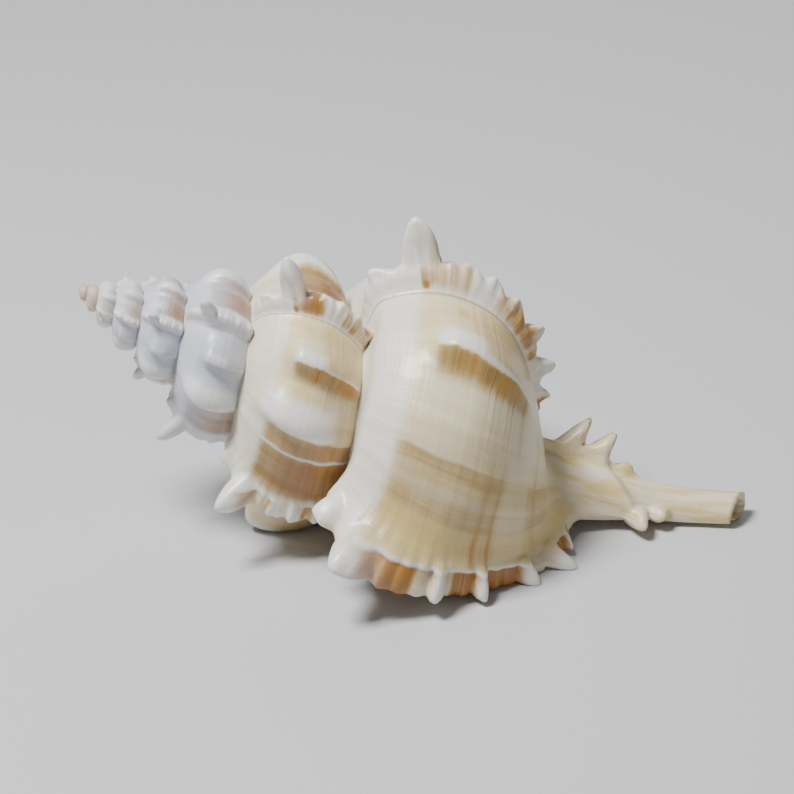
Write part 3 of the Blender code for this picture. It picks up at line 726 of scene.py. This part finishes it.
def shell_places():
    """The closed shell: each point's place and marks, the faces, and the number of points outside.

    A row is (angle, distance from the axis, distance from the apex, growth angle, station).
    """
    angles = column_angles()
    last = len(angles) - 1
    inner = int(np.argmin(np.abs(angles - (MOUTH_ANGLE - 360.0))))
    first_turn = int(np.argmin(np.abs(angles - (APEX_ANGLE + 360.0))))
    rim_row = STRIP_ROWS + BASE_ROWS + NECK_ROWS + CANAL_ROWS
    places = []
    faces = []

    def add(rows):
        start = len(places)
        places.extend(tuple(float(value) for value in row) for row in rows)
        return list(range(start, len(places)))

    apex_size = growth(APEX_ANGLE)
    first = (APEX_ANGLE, SECTION_RADIUS * apex_size, SECTION_REACH * apex_size, APEX_ANGLE, 0.0)
    columns = [add([first]) * STRIP_ROWS]
    for number in range(1, last + 1):
        columns.append(add(column(angles[number], number >= inner)))

    for number in range(1, last):
        rows = rim_row if number >= inner else STRIP_ROWS - 1
        here = columns[number]
        following = columns[number + 1]
        for row in range(rows):
            faces.append((here[row], here[row + 1], following[row + 1], following[row]))
    for row in range(STRIP_ROWS - 1):
        faces.append((columns[0][0], columns[1][row + 1], columns[1][row]))

    # The suture, where each whorl meets the whorl before it
    upper = [columns[number][STRIP_ROWS - 1] for number in range(inner + 1)]
    lower = [columns[number][0] for number in range(first_turn, last + 1)]
    faces.extend(zipper(upper, lower, angles[: inner + 1], angles[first_turn:] - 360.0))

    # The first turn's top is closed with a fan
    top = [columns[number][0] for number in range(first_turn + 1)]
    apex_reach = min(places[point][2] for point in top) - APEX_LIFT
    apex = add([(0.0, 0.0, apex_reach, APEX_ANGLE, FIRST_STATION)])[0]
    for here, following in zip(top, top[1:] + top[:1]):
        faces.append((apex, here, following))

    # The hole in the canal's tip: rings that turn in over the rim and run back to a point
    ring_angles = angles[inner:last]
    rings = [[columns[number][rim_row] for number in range(inner, last + 1)]]
    for share in np.linspace(0.0, 1.0, HOLE_ROWS):
        radius = CANAL_RADII[-1] * TIP_HOLE_SHARE * (1.0 - TIP_HOLE_TAPER * share)
        reach = CANAL_TIP - TIP_HOLE_DEPTH * share
        reaches = reach - canal_cut(ring_angles) * (1.0 - share)
        ring = add([(angle, radius, x, angle, CANAL_STATION) for angle, x in zip(ring_angles, reaches)])
        rings.append(ring + ring[:1])
    for outer, within in zip(rings, rings[1:]):
        for i in range(len(ring_angles)):
            faces.append((outer[i], within[i], within[i + 1], outer[i + 1]))
    faces.append((rings[0][-1], rings[0][0], rings[1][0]))
    end = add([(0.0, 0.0, CANAL_TIP - TIP_HOLE_DEPTH - TIP_HOLE_POINT, MOUTH_ANGLE, CANAL_STATION)])[0]
    for i in range(len(ring_angles)):
        faces.append((rings[-1][i], end, rings[-1][i + 1]))

    # The mouth: loops that leave the lip, turn in and follow the last whorl back inside
    outside = len(places)
    loop = columns[last][: rim_row + 1] + columns[inner][rim_row : STRIP_ROWS - 2 : -1]
    deeper = MOUTH_DEPTH * np.linspace(MOUTH_FIRST, 1.0, MOUTH_RINGS) ** MOUTH_RING_POWER
    for depth in (0.0, LIP_ROUNDING, *deeper):
        wall = MOUTH_WALL if depth > 0.0 else MOUTH_WALL * LIP_SHARE
        ring = add(mouth_ring(depth, wall))
        for i in range(len(loop)):
            j = (i + 1) % len(loop)
            faces.append((loop[i], ring[i], ring[j], loop[j]))
        loop = ring
    outer_line = loop[: rim_row + 1]
    inner_line = loop[rim_row + 1 :][::-1]
    shares = [np.linspace(0.0, 1.0, len(line)) for line in (inner_line, outer_line)]
    faces.extend(zipper(inner_line, outer_line, *shares))
    return np.array(places), faces, outside


def inside_outer(angle, row, station, wall):
    """A point on the inside of the last whorl's outer wall."""
    if row < STRIP_ROWS + BASE_ROWS:
        radius, reach = whorl_point(angle, station)
        thick = wall * (THIN_SHARE + (1.0 - THIN_SHARE) * growth(angle))
        radius -= thick * math.cos(math.radians(station))
        reach -= thick * math.sin(math.radians(station))
        away = smooth(station, FIRST_STATION, FIRST_STATION + CORNER_BLEND)
        corner_radius, corner_reach = mouth_corner(angle)
        return corner_radius + (radius - corner_radius) * away, corner_reach + (reach - corner_reach) * away
    share = (row - STRIP_ROWS - BASE_ROWS) / NECK_ROWS
    if share < 1.0:
        radius, reach = neck_curve(max(angle, DEEPEST_NECK), share)
        thick = wall * (1.0 - (1.0 - LIP_SHARE) * share)
        way = math.radians(BASE_STATION) * (1.0 - share)
        return radius - thick * math.cos(way), reach - thick * math.sin(way)
    reach = canal_reach(angle, (row - STRIP_ROWS - BASE_ROWS - NECK_ROWS) / CANAL_ROWS)
    return canal_radius(reach, angle) - LIP_SHARE * wall, reach


def inside_inner(angle, row, station):
    """A point on the mouth's inner side: the whorl before it, the columella and the canal's inner wall."""
    if row < STRIP_ROWS + BASE_ROWS:
        suture = float(suture_station(MOUTH_ANGLE - 360.0))
        share = max((station - suture) / (BASE_STATION - suture), 0.0)
        first = float(suture_station(angle)) + CORNER_STATIONS
        return whorl_point(angle, first + share * (BASE_STATION - first))
    share = (row - STRIP_ROWS - BASE_ROWS) / NECK_ROWS
    if share < 1.0:
        return neck_curve(max(angle, DEEPEST_NECK), share)
    reach = canal_reach(angle, (row - STRIP_ROWS - BASE_ROWS - NECK_ROWS) / CANAL_ROWS)
    return canal_radius(reach, max(angle, MOUTH_ANGLE - 360.0)), reach


def canal_reach(angle, share):
    """How far along the axis a point inside the canal is: the last is just short of the tip."""
    start = canal_start(angle)
    return start + (CANAL_TIP - canal_cut(angle) - TIP_HOLE_POINT - start) * share


def mouth_corner(angle):
    """The narrow corner of the mouth, where the outer wall meets the whorl before it."""
    before = angle - 360.0
    radius, reach = whorl_point(before, float(suture_station(before)) + CORNER_STATIONS)
    return radius + CORNER_GAP, reach


def lying(points):
    """The shell turned as it lies."""
    turn = Matrix.Rotation(math.radians(PITCH), 3, "Y") @ Matrix.Rotation(math.radians(ROLL), 3, "X")
    return points @ np.array(turn).T


def lying(points):
    """The shell turned as it lies."""
    turn = Matrix.Rotation(math.radians(PITCH), 3, "Y") @ Matrix.Rotation(math.radians(ROLL), 3, "X")
    return points @ np.array(turn).T


class Nodes:
    """A short way to write the shell's node tree, with the places and the masks that its colours go by."""

    def __init__(self, tree):
        self.tree = tree
        self.across = self.value("station")
        self.station = self.wander(self.across, *ACROSS_WANDER)
        self.after = self.wander(self.value("after"), *AFTER_WANDER)
        self.near = self.value("near")
        self.age = self.value("age")

        self.canal = self.step(self.across, *CANAL_ACROSS)
        self.whorls = self.rest(self.canal)
        self.panels = self.times(self.whorls, self.value("apart"))
        self.varices = self.times(self.whorls, self.value("beside"))
        self.ahead = self.step(self.station, *SHOULDER_ACROSS)
        self.older = self.step(self.age, *LIP_AGE)
        self.lip = self.rest(self.older)
        self.last = self.rest(self.step(self.age, *BODY_AGE))
        self.old = self.step(self.age, *OLD_AGE)
        self.spire = self.step(self.age, *SPIRE_AGE)

        self.threads = self.pattern(*THREADS)
        self.broad_threads = self.pattern(*BROAD_THREADS)
        self.streaks = self.pattern(*STREAKS)
        self.broad_streaks = self.pattern(*BROAD_STREAKS)
        self.clouds = self.noise(*CLOUDS)
        self.patchy = self.step(self.clouds, *CLOUDS_PATCHY)

    def feed(self, socket, value):
        if isinstance(value, bpy.types.NodeSocket):
            self.tree.links.new(value, socket)
        else:
            socket.default_value = value

    def add(self, kind, inputs, **settings):
        node = self.tree.nodes.new(kind)
        for name, value in settings.items():
            setattr(node, name, value)
        for name, value in inputs.items():
            self.feed(node.inputs[name], value)
        return node

    def value(self, name):
        return self.add("ShaderNodeAttribute", {}, attribute_name=name).outputs["Fac"]

    def math(self, operation, first, *others):
        result = first
        for other in others:
            result = self.add("ShaderNodeMath", {0: result, 1: other}, operation=operation).outputs[0]
        return result

    def times(self, *factors):
        return self.math("MULTIPLY", *factors)

    def plus(self, *terms):
        return self.math("ADD", *terms)

    def most(self, *values):
        return self.math("MAXIMUM", *values)

    def rest(self, share):
        return self.math("SUBTRACT", 1.0, share)

    def between(self, low, high, share):
        """low where the share is 0, and high where it is 1."""
        return self.plus(low, self.times(high - low, share))

    def step(self, value, low, high):
        """0 below low, 1 above high, and an even S between."""
        settings = {"Value": value, "From Min": low, "From Max": high}
        node = self.add("ShaderNodeMapRange", settings, interpolation_type="SMOOTHSTEP")
        return node.outputs["Result"]

    def band(self, value, low, high, rise, fall):
        """1 from low to high, with soft edges outside of them."""
        up = self.step(value, low - rise, low)
        return self.times(up, self.rest(self.step(value, high, high + fall)))

    def line(self, value, middle, width):
        return self.band(value, middle, middle, width, width)

    def paint(self, colour, over, *masks):
        """colour with another over it, as far as all the masks show it."""
        sockets = {0: self.times(*masks), 6: colour, 7: over}
        return self.add("ShaderNodeMix", sockets, data_type="RGBA").outputs[2]

    def noise(self, along, across, detail, shift):
        """Noise over the whorls, with this many waves a millimetre along and across them."""
        place = self.add("ShaderNodeAttribute", {}, attribute_name="place").outputs["Vector"]
        scaled = {0: place, 1: (along, across, 0.0)}
        stretched = self.add("ShaderNodeVectorMath", scaled, operation="MULTIPLY").outputs[0]
        moved = self.add("ShaderNodeVectorMath", {0: stretched, 1: (shift, shift, shift)}, operation="ADD")
        settings = {"Vector": moved.outputs[0], "Scale": 1.0, "Detail": detail, "Roughness": NOISE_ROUGHNESS}
        return self.add("ShaderNodeTexNoise", settings).outputs["Fac"]

    def pattern(self, kind, shown):
        """A mask of the places where noise of this kind is high."""
        return self.step(self.noise(*kind), *shown)

    def wander(self, value, amount, kind):
        """value with its borders made uneven by up to about this amount."""
        return self.plus(value, self.times(self.plus(self.noise(*kind), -0.5), 2.0 * amount))

    def patch(self, after, across):
        """A patch of the whorl between two varices."""
        return self.times(self.band(self.after, *after), self.band(self.station, *across))


def stain(nodes, mask, colour, deep):
    """colour stained where the mask is: honey at its edges and the deep colour in its middle."""
    colour = nodes.paint(colour, HONEY, nodes.step(mask, 0.0, 0.55), 0.9)
    return nodes.paint(colour, deep, nodes.step(mask, 0.22, 0.90))


def ground_colour(nodes):
    """Ivory, and warm cream beyond the shoulder, paler below the ribs."""
    pale = nodes.times(nodes.band(nodes.after, *PALE_AFTER), nodes.last, 0.6)
    warmth = nodes.between(0.20, 0.70, nodes.broad_streaks)
    colour = nodes.paint(IVORY, CREAM, nodes.ahead, nodes.whorls, warmth, nodes.rest(pale))
    shown = nodes.between(0.15, 0.65, nodes.times(nodes.threads, nodes.patchy))
    return nodes.paint(colour, HONEY, nodes.patch(*FLUSH), nodes.panels, shown)


def tan_zone(nodes):
    """Where the whorl is tan before a varix: it starts at sharp growth lines."""
    starts = nodes.plus(*(nodes.times(share, nodes.step(nodes.after, *at)) for share, at in TAN_STARTS_AFTER))
    ending = nodes.rest(nodes.step(nodes.after, *TAN_ENDS_AFTER))
    outer = nodes.between(1.0, 0.2, nodes.step(nodes.station, *TAN_ENDS_ACROSS))
    return nodes.times(starts, ending, nodes.panels, outer)


def tan_colours(nodes, colour, zone, deep):
    """Tan before each varix, dark brown on the older whorls towards their undersides, partly their own colour
    and partly painted shade, and cream on the slope up to the lip.
    """
    faded = nodes.times(0.30, nodes.last, nodes.band(nodes.after, *TAN_FADED_AFTER))
    light = nodes.times(0.6, nodes.last, nodes.band(nodes.station, *TAN_LIGHT_ACROSS))
    threads = nodes.times(0.25, nodes.broad_threads)
    uneven = nodes.plus(0.55, threads, nodes.times(0.35, nodes.streaks))
    colour = nodes.paint(colour, TAN, zone, nodes.ahead, nodes.rest(faded), uneven, nodes.rest(light))
    uneven = nodes.plus(0.62, nodes.times(0.20, nodes.threads), nodes.times(0.18, nodes.broad_threads))
    # dark brown on the older whorls towards their undersides: partly their own colour, partly painted shade
    colour = nodes.paint(colour, BROWN, zone, nodes.old, deep, uneven)
    slope = nodes.band(nodes.near, *LIP_SLOPE_NEAR)
    return nodes.paint(colour, CREAM, slope, nodes.lip, nodes.ahead, nodes.varices, 0.75)


def spiral_lines(nodes, colour):
    """Brown spiral lines, the brownish band that they are in, and a line near the canal."""
    band = nodes.band(nodes.station, *SPIRAL_BAND_ACROSS)
    band = nodes.times(band, nodes.step(nodes.after, *SPIRAL_BAND_AFTER), nodes.threads, 0.45)
    lines = nodes.plus(*(nodes.line(nodes.station, *place) for place in SPIRAL_LINES_ACROSS))
    lines = nodes.times(lines, nodes.step(nodes.after, *SPIRAL_LINES_AFTER), 0.95)
    edge = nodes.line(nodes.station, *EDGE_LINE_ACROSS)
    edge = nodes.times(edge, nodes.step(nodes.after, *EDGE_LINE_AFTER), 0.60)
    uneven = nodes.between(0.55, 1.0, nodes.broad_streaks)
    lines = nodes.times(nodes.plus(band, lines, edge), nodes.panels, uneven)
    return nodes.paint(colour, nodes.paint(HONEY, ORANGE, 0.5), lines)


def rib_whites(nodes):
    """The white of the ribs' knobs and crests, of a crease, and of the shoulder."""
    knob = nodes.patch(*KNOB)
    crest = nodes.times(nodes.patch(*RIB_CREST), 0.65)
    second = nodes.times(nodes.patch(*SECOND_RIB), nodes.old)
    crease = nodes.times(nodes.line(nodes.after, *CREASE_AFTER), nodes.band(nodes.age, *CREASE_AGE), 0.75)
    shoulder = nodes.times(nodes.rest(nodes.ahead), nodes.between(1.0, 0.4, nodes.old), 0.85)
    white = nodes.most(knob, second, crest, crease, shoulder)
    return nodes.times(white, nodes.panels, nodes.step(nodes.clouds, *CLOUDS_BROKEN))


def rib_colours(nodes, colour, whites):
    """The front of each rib is tan to orange-brown, partly its own colour and partly painted shade under the
    crest, and its crest is white.
    """
    # painted shade under each rib's crest, mixed with the rib's own tan, and a fainter trail of it
    tan_and_painted_shade = nodes.patch(*RIB_FRONT_TAN_AND_SHADE)
    trail = nodes.times(nodes.patch(*RIB_TRAIL_TAN_AND_SHADE), nodes.threads, 0.55)
    front = nodes.times(nodes.plus(tan_and_painted_shade, trail), nodes.panels, nodes.between(0.75, 0.95, nodes.threads))
    colour = nodes.paint(colour, TAN, front)
    stains = nodes.plus(*(nodes.band(nodes.station, *place) for place in RIB_STAINS_ACROSS))
    stains = nodes.times(stains, nodes.band(nodes.after, *RIB_STAINS_AFTER), nodes.panels)
    stains = nodes.times(stains, nodes.between(0.40, 0.90, nodes.threads))
    stains = nodes.times(stains, nodes.between(0.55, 1.0, nodes.old))
    colour = nodes.paint(stain(nodes, stains, colour, ORANGE), WHITE, whites)
    colour = nodes.paint(colour, HONEY, nodes.patch(*SPOT), nodes.last, 0.6)
    return nodes.paint(colour, BROWN, nodes.patch(*SPECKED), nodes.pattern(*SPECKS), nodes.old, 0.8)


def varix_white(nodes):
    """The white of the varices, thinner on the lip."""
    white = nodes.times(nodes.band(nodes.near, *VARIX_NEAR), nodes.varices)
    return nodes.times(white, nodes.between(1.0, 0.25, nodes.lip), nodes.between(0.55, 0.95, nodes.patchy))


def varix_colours(nodes, colour, white):
    """White, with orange-brown patches between the spines, and a frilled white edge behind the last varix."""
    colour = nodes.paint(colour, WHITE, white)
    patches = nodes.plus(*(nodes.band(nodes.station, *place) for place in PATCHES_ACROSS))
    patches = nodes.times(patches, nodes.band(nodes.near, *PATCHES_NEAR), nodes.varices)
    broken = nodes.most(nodes.between(0.40, 0.95, nodes.lip), nodes.patchy)
    patches = nodes.times(patches, nodes.between(0.62, 1.0, nodes.threads), broken)
    patches = nodes.times(patches, nodes.between(0.88, 1.0, nodes.lip))
    colour = stain(nodes, patches, colour, ORANGE)
    edge = nodes.times(nodes.line(nodes.near, *FRILL_NEAR), nodes.band(nodes.station, *FRILL_ACROSS))
    colour = nodes.paint(colour, WHITE, edge, nodes.lip, nodes.varices, 0.9)
    stains = nodes.plus(*(nodes.line(nodes.near, *place) for place in SPINE_STAINS_NEAR))
    stains = nodes.times(stains, nodes.line(nodes.across, *SPINE_STAINS_ACROSS), nodes.varices)
    stains = nodes.times(stains, nodes.older, nodes.rest(nodes.spire))
    colour = stain(nodes, stains, colour, ORANGE)
    colour = nodes.paint(colour, WHITE, nodes.value("spine"), 0.95)
    return nodes.paint(colour, TAN, nodes.line(nodes.near, *SEAM_NEAR), nodes.older, nodes.varices, 0.6)


def canal_colours(nodes, colour):
    """White, with warm patches."""
    colour = nodes.paint(colour, WHITE, nodes.canal, 0.60)
    patches = nodes.between(0.35, 0.95, nodes.step(nodes.clouds, *CLOUDS_CANAL))
    return nodes.paint(colour, CREAM, nodes.canal, patches)


def spire_colours(nodes, colour, whites, browns_and_shade):
    """Lavender-grey, browner before the varices towards the undersides, partly their own colour and partly
    painted shade; the first whorls are white and then pink.
    """
    colour = nodes.paint(colour, LAVENDER, nodes.spire, 0.85, nodes.between(1.0, 0.25, browns_and_shade))
    colour = nodes.paint(colour, WHITE, nodes.spire, whites, 0.6)
    colour = nodes.paint(colour, WHITE, nodes.step(nodes.age, *WHITE_AGE), 0.5)
    return nodes.paint(colour, PINK, nodes.step(nodes.age, *PINK_AGE), 0.8)


def shell_colour(nodes):
    """The colour of the shell's outside, from where a point is along and across the whorls."""
    zone = tan_zone(nodes)
    # deep: towards the whorls' undersides, where the brown is partly painted shade
    deep = nodes.step(nodes.station, *BROWN_AND_SHADE_ACROSS)
    on_ribs = rib_whites(nodes)
    on_varices = varix_white(nodes)
    colour = ground_colour(nodes)
    colour = tan_colours(nodes, colour, zone, deep)
    colour = spiral_lines(nodes, colour)
    colour = rib_colours(nodes, colour, on_ribs)
    colour = varix_colours(nodes, colour, on_varices)
    colour = canal_colours(nodes, colour)
    whites = nodes.most(on_ribs, on_varices)
    colour = spire_colours(nodes, colour, whites, nodes.times(zone, deep))
    return nodes.paint(colour, TAN, nodes.pattern(*GROWTH_LINES), 0.16, nodes.between(1.0, 0.4, nodes.spire))


def glaze(name):
    """The shell's material: an ivory glaze with colours that follow the whorls, threads and growth lines."""
    material = bpy.data.materials.new(name)
    material.use_nodes = True
    shader = material.node_tree.nodes["Principled BSDF"]
    nodes = Nodes(material.node_tree)
    inside = nodes.value("inside")
    nodes.feed(shader.inputs["Base Color"], nodes.paint(shell_colour(nodes), INSIDE, inside))
    for socket, value in GLAZE.items():
        shader.inputs[socket].default_value = value
    nodes.feed(shader.inputs["Roughness"], nodes.between(SMOOTHEST, ROUGHEST, nodes.noise(*CHALK)))
    rough = nodes.plus(*(nodes.times(nodes.noise(*kind), share) for kind, share in BUMPS))
    bumps = nodes.add("ShaderNodeBump", {"Height": nodes.times(rough, nodes.rest(inside))})
    bumps.inputs["Strength"].default_value = BUMP_STRENGTH
    bumps.inputs["Distance"].default_value = BUMP_DEPTH
    nodes.feed(shader.inputs["Normal"], bumps.outputs[0])
    return material


def spine_whites(near, station, on_lip):
    """How white each point is as part of a spine: the tips, and the foot of the shoulder spine."""
    spine_station, _, width = SHOULDER_SPINE
    tips = spine(near, (station - spine_station) / width)
    foot = SPINE_FOOT * bump(station - spine_station, width, width) * bump(near, *SPINE_FOOT_SLOPES)
    for spines, own in ((LAST_SPINES, on_lip), (SMALL_SPINES, ~on_lip)):
        for spine_station, _, width in spines:
            tips = np.maximum(tips, own * spine(near, (station - spine_station) / width))
    return np.maximum(smooth(tips, *SPINE_WHITE), foot)


def add_values(mesh, marks, outside):
    """What the colours follow, as attributes of the mesh's points."""
    angle = marks[:, 3]
    on_canal = BASE_STATION + NECK_STATIONS + STATIONS_PER_MM * (marks[:, 2] - canal_start(angle))
    station = np.where(marks[:, 4] < CANAL_STATION, marks[:, 4], on_canal)
    past = angle[:, None] - varix_angles()[None, :]
    nearest = np.abs(past).argmin(axis=1)
    near = past[np.arange(len(angle)), nearest]
    values = {
        "station": station,
        "after": np.where(past > -CREST_SLACK, past, NO_VARIX_BEFORE).min(axis=1),
        "near": near,
        "beside": 1.0 - smooth(np.abs(near), *BESIDE_ENDS),
        "apart": smooth(np.abs(near + CREST_SLACK), *APART_STARTS),
        "age": -angle,
        "spine": spine_whites(near, station, nearest == 0),
        "inside": np.arange(len(marks)) >= outside,
    }
    for name, numbers in values.items():
        attribute = mesh.attributes.new(name, "FLOAT", "POINT")
        attribute.data.foreach_set("value", np.asarray(numbers, dtype=float))
    along = OUTER_RADIUS * growth(angle) * math.tau / math.log(WHORL_RATIO)
    place = np.stack([along, np.radians(station) * HALF_WIDTH, np.zeros_like(along)], axis=-1)
    attribute = mesh.attributes.new("place", "FLOAT_VECTOR", "POINT")
    attribute.data.foreach_set("vector", place.ravel())


def fine_shell():
    """The shell as a fine mesh, where the solid is."""
    marks, faces, outside = shell_places()
    points = lying(placed(*marks[:, :3].T))
    points -= np.array(SOLID_AT) + np.array([0.0, 0.0, FOOT_WORN])
    points[:, 2] = np.maximum(points[:, 2], 0.0)
    mesh = bpy.data.meshes.new("shell_glazed")
    mesh.from_pydata([tuple(point) for point in points * MM], [], faces)
    bm = bmesh.new()
    bm.from_mesh(mesh)
    bmesh.ops.recalc_face_normals(bm, faces=bm.faces)
    bm.to_mesh(mesh)
    bm.free()
    add_values(mesh, marks, outside)
    mesh.shade_smooth()
    shell = bpy.data.objects.new("shell_glazed", mesh)
    bpy.context.scene.collection.objects.link(shell)
    return shell


def add_floor(scene):
    mesh = bpy.data.meshes.new("floor")
    bm = bmesh.new()
    bmesh.ops.create_grid(bm, x_segments=1, y_segments=1, size=FLOOR_HALF_SIZE)
    bm.to_mesh(mesh)
    bm.free()
    floor = bpy.data.objects.new("floor", mesh)
    scene.collection.objects.link(floor)
    pale = bpy.data.materials.new("pale_floor")
    pale.use_nodes = True
    shader = pale.node_tree.nodes["Principled BSDF"]
    shader.inputs["Base Color"].default_value = FLOOR_COLOUR
    shader.inputs["Roughness"].default_value = FLOOR_ROUGHNESS
    mesh.materials.append(pale)


def add_lights(scene):
    world = bpy.data.worlds.new("studio")
    world.use_nodes = True
    background = world.node_tree.nodes["Background"]
    background.inputs["Color"].default_value = SKY_COLOUR
    background.inputs["Strength"].default_value = SKY_STRENGTH
    scene.world = world
    for name, place, size, power in LAMPS:
        lamp = bpy.data.lights.new(name, "AREA")
        lamp.size = size
        lamp.energy = power
        light = bpy.data.objects.new(name, lamp)
        light.location = place
        light.rotation_euler = (Vector(place) - Vector(LAMPS_AIM)).to_track_quat("Z", "Y").to_euler()
        scene.collection.objects.link(light)


def add_camera(scene):
    azimuth = math.radians(CAMERA_AZIMUTH)
    elevation = math.radians(CAMERA_ELEVATION)
    level = math.cos(elevation)
    back = Vector((math.sin(azimuth) * level, -math.cos(azimuth) * level, math.sin(elevation)))
    lens = bpy.data.cameras.new("camera")
    lens.sensor_width = SENSOR
    lens.lens = SENSOR * CAMERA_DISTANCE / PICTURE_WIDTH
    lens.clip_start = CLIP_START
    camera = bpy.data.objects.new("camera", lens)
    turned = back.to_track_quat("Z", "Y").to_matrix() @ Matrix.Rotation(math.radians(CAMERA_ROLL), 3, "Z")
    place = (Vector(CAMERA_TARGET) + back * CAMERA_DISTANCE) * MM
    camera.matrix_world = Matrix.Translation(place) @ turned.to_4x4()
    scene.collection.objects.link(camera)
    scene.camera = camera


def main():
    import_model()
    shell = fine_shell()
    shell.data.materials.append(glaze("shell_glaze"))
    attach(shell, "root")
    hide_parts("shell")
    add_floor(bpy.context.scene)
    add_lights(bpy.context.scene)
    add_camera(bpy.context.scene)


main()
